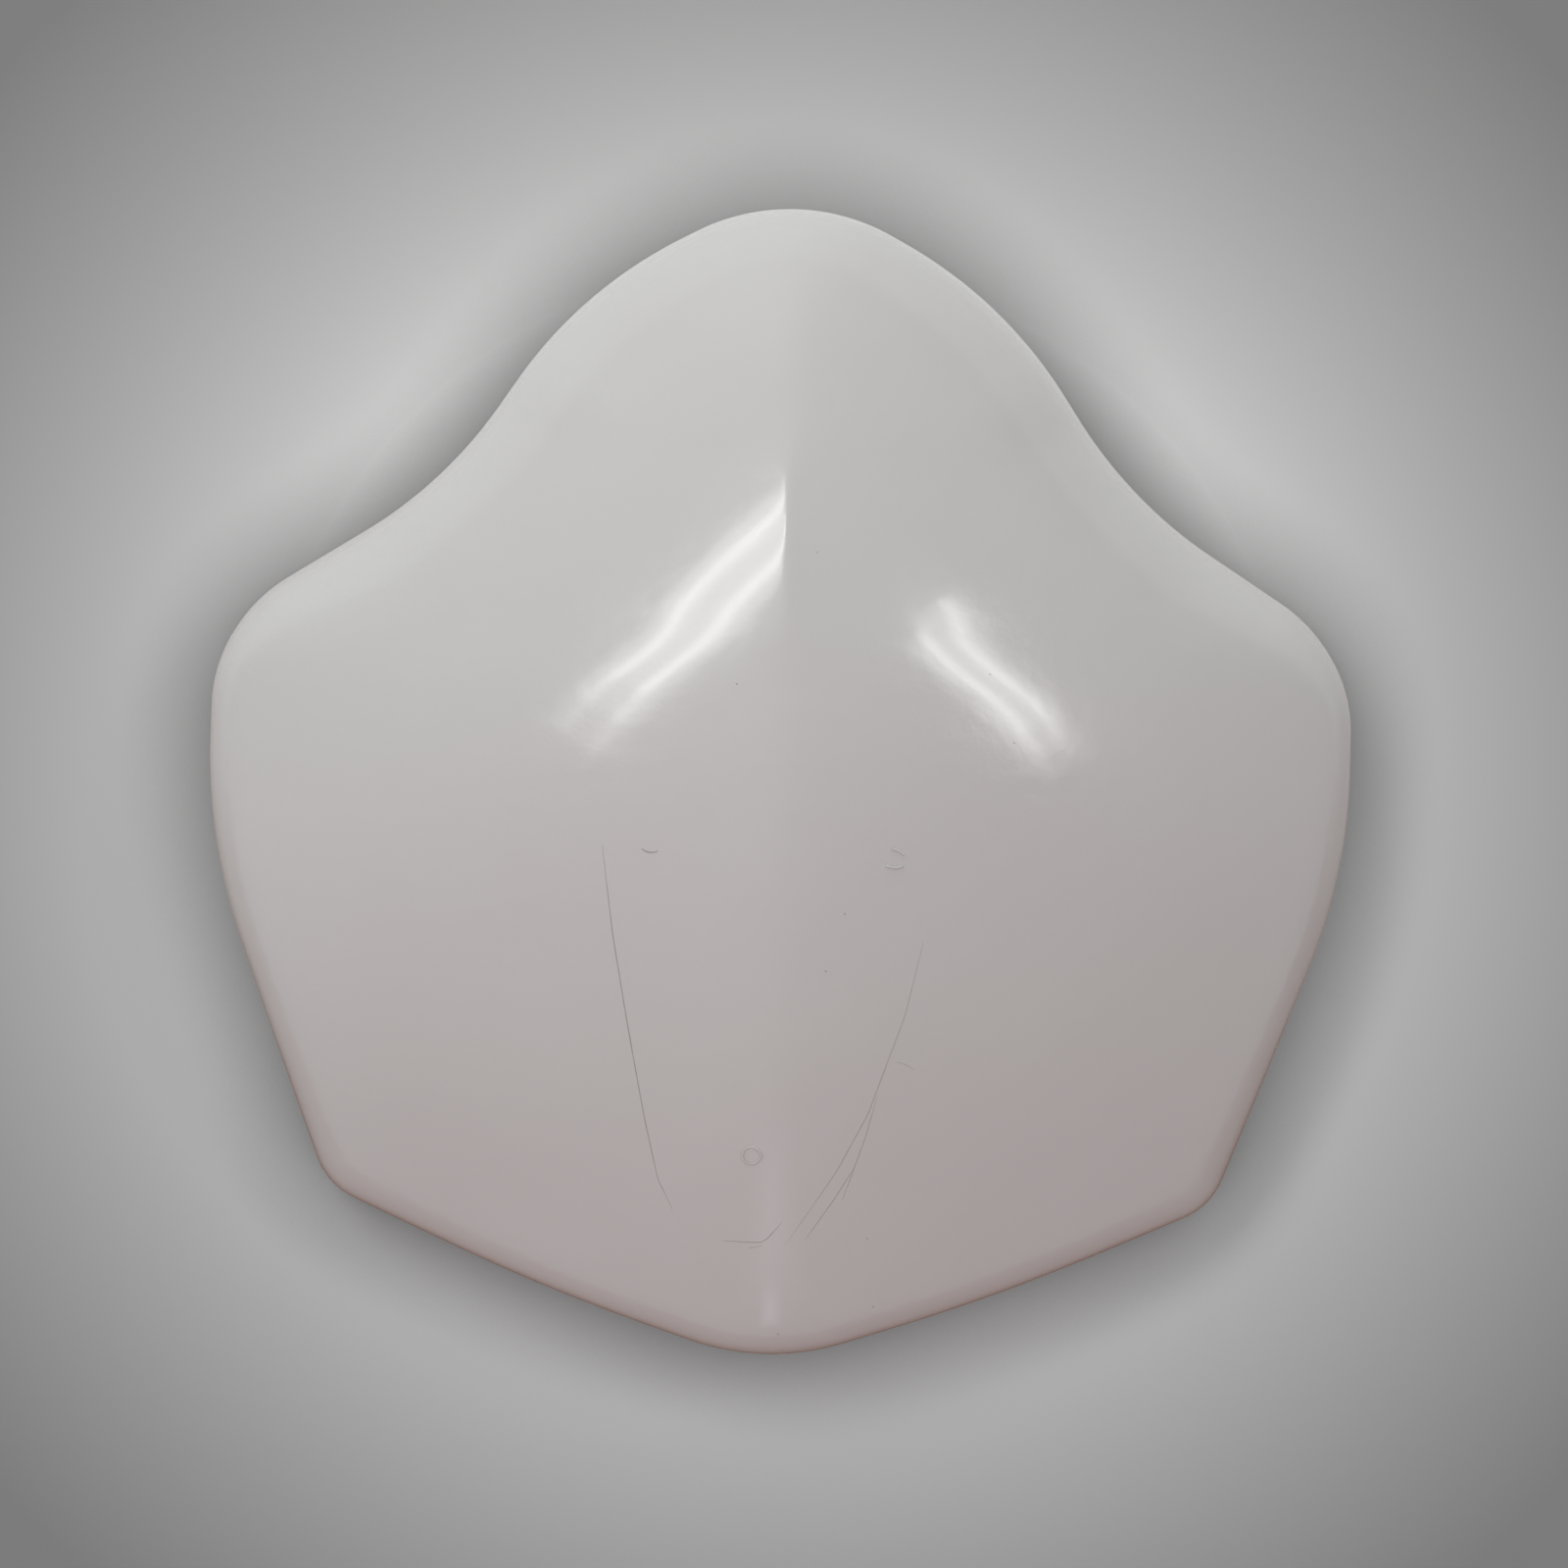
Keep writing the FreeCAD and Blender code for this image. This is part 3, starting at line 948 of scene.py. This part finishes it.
    def lights(self, context, studio):
        """The room, four soft lamps for the shell alone, a window and two ceiling lamps."""
        world = bpy.data.worlds.new("room")
        context.scene.world = world
        world.use_nodes = True
        tree = world.node_tree
        background = tree.nodes["Background"]
        background.inputs["Strength"].default_value = studio.room
        coords = add_node(tree, "ShaderNodeTexCoord", (-900, 0))
        split = add_node(tree, "ShaderNodeSeparateXYZ", (-700, 0))
        tree.links.new(coords.outputs["Generated"], split.inputs["Vector"])
        mix = add_node(tree, "ShaderNodeMixRGB", (-400, 0))
        mix.inputs["Color2"].default_value = (1.0, 1.0, 1.0, 1.0)
        beyond = add_node(tree, "ShaderNodeMapRange", (-600, 200))
        beyond.inputs["From Min"].default_value = -1.0
        beyond.inputs["From Max"].default_value = 0.0
        tree.links.new(split.outputs["Y"], beyond.inputs["Value"])
        low = add_node(tree, "ShaderNodeMixRGB", (-500, 200))
        low.inputs["Color1"].default_value = (*studio.far_wall, 1.0)
        low.inputs["Color2"].default_value = (*studio.horizon, 1.0)
        tree.links.new(beyond.outputs["Result"], low.inputs["Fac"])
        tree.links.new(low.outputs["Color"], mix.inputs["Color1"])
        tree.links.new(split.outputs["Z"], mix.inputs["Fac"])
        tree.links.new(mix.outputs["Color"], background.inputs["Color"])
        key = self.lamp("key", (-0.55, 1.65, 0.62), (1.4, 0.9), studio.key, (0.93, 1.0, 0.995))
        back = self.lamp("back", (-0.2, 1.5, 0.22), (1.6, 0.5), studio.back, (0.98, 1.0, 1.0))
        glow = self.lamp("glow", (0.1, -1.4, 0.8), (1.2, 0.6), studio.glow, (1.0, 0.30, 0.34))
        side = self.lamp("side", (-1.45, -0.5, 0.45), (1.0, 0.6), studio.side, (1.0, 0.95, 0.97))
        lit = bpy.data.collections.new("lit_pieces")
        for name in PIECES:
            lit.objects.link(bpy.data.objects[name])
        for lamp in (key, back, glow, side):
            lamp.visible_glossy = False
            lamp.light_linking.receiver_collection = lit
        sill = Vector((0.06, -1.96, 0.50))
        self.window("window", sill, Vector((0.06, -1.70, 1.40)), 0.8, studio.window)
        foot = Vector((0.06, -1.95, 0.34))
        self.window("window_foot", foot, Vector((0.06, -1.90, 0.62)), 0.3, 2.0 * studio.window)
        self.luminaire("left", (-0.46, 1.09, 1.5), (-1.22, 0.185, 1.5), 0.34, studio)
        self.luminaire("right", (1.13, 0.80, 1.5), (1.68, 0.16, 1.5), 0.34, studio)

    def camera(self, context, studio):
        """A camera above the shell, looking down at it."""
        lean = Vector((studio.lean[0], studio.lean[1], 0.0))
        back = lean + Vector((0.0, 0.0, math.sqrt(1.0 - lean.length_squared)))
        place = Vector(studio.target) + back * studio.distance
        upward = Vector((math.sin(studio.roll), math.cos(studio.roll), 0.0))
        across = upward.cross(back).normalized()
        upward = back.cross(across)
        bpy.ops.object.camera_add()
        camera = context.object
        turned = Matrix((across, upward, back)).transposed().to_4x4()
        camera.matrix_world = Matrix.Translation(place) @ turned
        camera.data.sensor_fit = "HORIZONTAL"
        camera.data.sensor_width = 36.0
        camera.data.lens = studio.lens
        camera.data.clip_end = 50.0
        context.scene.camera = camera


class FAIRING_PT_panel(Panel):
    """Lists the fairing's pieces and their sizes"""

    bl_idname = "FAIRING_PT_panel"
    bl_label = "Headlight Fairing"
    bl_space_type = "VIEW_3D"
    bl_region_type = "UI"
    bl_category = "Fairing"

    def draw(self, context):
        scene = context.scene
        for group in (scene.fairing_sizes, scene.fairing_colours, scene.fairing_studio):
            box = self.layout.box()
            for name in group.__annotations__:
                box.prop(group, name)
        for operator in OPERATORS:
            self.layout.operator(operator.bl_idname)


OPERATORS = (FAIRING_OT_shell, FAIRING_OT_marks, FAIRING_OT_stage)
GROUPS = (FairingSizes, FairingColours, FairingStudio)


def register():
    for cls in GROUPS + OPERATORS + (FAIRING_PT_panel,):
        bpy.utils.register_class(cls)
    bpy.types.Scene.fairing_sizes = PointerProperty(type=FairingSizes)
    bpy.types.Scene.fairing_colours = PointerProperty(type=FairingColours)
    bpy.types.Scene.fairing_studio = PointerProperty(type=FairingStudio)


def unregister():
    del bpy.types.Scene.fairing_sizes
    del bpy.types.Scene.fairing_colours
    del bpy.types.Scene.fairing_studio
    for cls in reversed(GROUPS + OPERATORS + (FAIRING_PT_panel,)):
        bpy.utils.unregister_class(cls)


def main():
    register()
    bpy.ops.fairing.shell()
    bpy.ops.fairing.marks()
    bpy.ops.fairing.stage()


if __name__ == "__main__":
    main()
